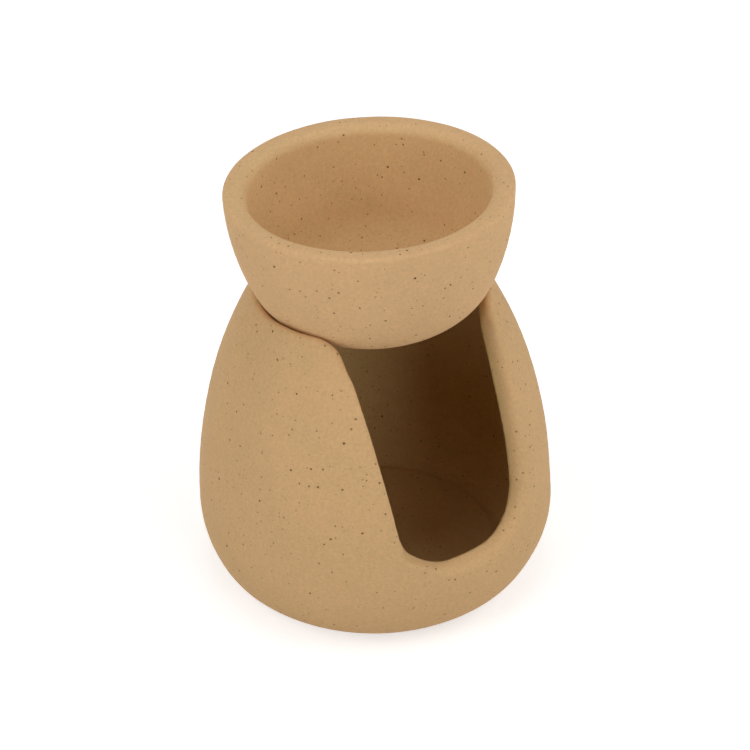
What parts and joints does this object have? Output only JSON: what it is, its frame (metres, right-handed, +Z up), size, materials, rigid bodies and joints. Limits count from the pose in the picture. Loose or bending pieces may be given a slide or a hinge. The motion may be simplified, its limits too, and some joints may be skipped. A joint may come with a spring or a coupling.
{
  "type": "essential oil burner",
  "caption": "Egg-shaped speckled stoneware burner with a front notch for a tealight and a loose deep oil bowl resting in its open top.",
  "frame": {"origin": "centre of the foot, on the surface that the burner stands on", "axes": "+Z up through the bowl, -Y out of the notch, +X to the right seen from the notch's side"},
  "size_m": [0.1102, 0.1102, 0.1357],
  "materials": {
    "base_stoneware": "matte",
    "bowl_stoneware": "matte"
  },
  "bodies": {
    "base": {"burner_base": "base_stoneware"},
    "bowl": {"oil_bowl": "bowl_stoneware"}
  },
  "joints": [
    {"name": "bowl_lift", "type": "slide", "parent": "base", "child": "bowl", "axis": [0, 0, 1], "range_m": [0, 0.05]}
  ]
}
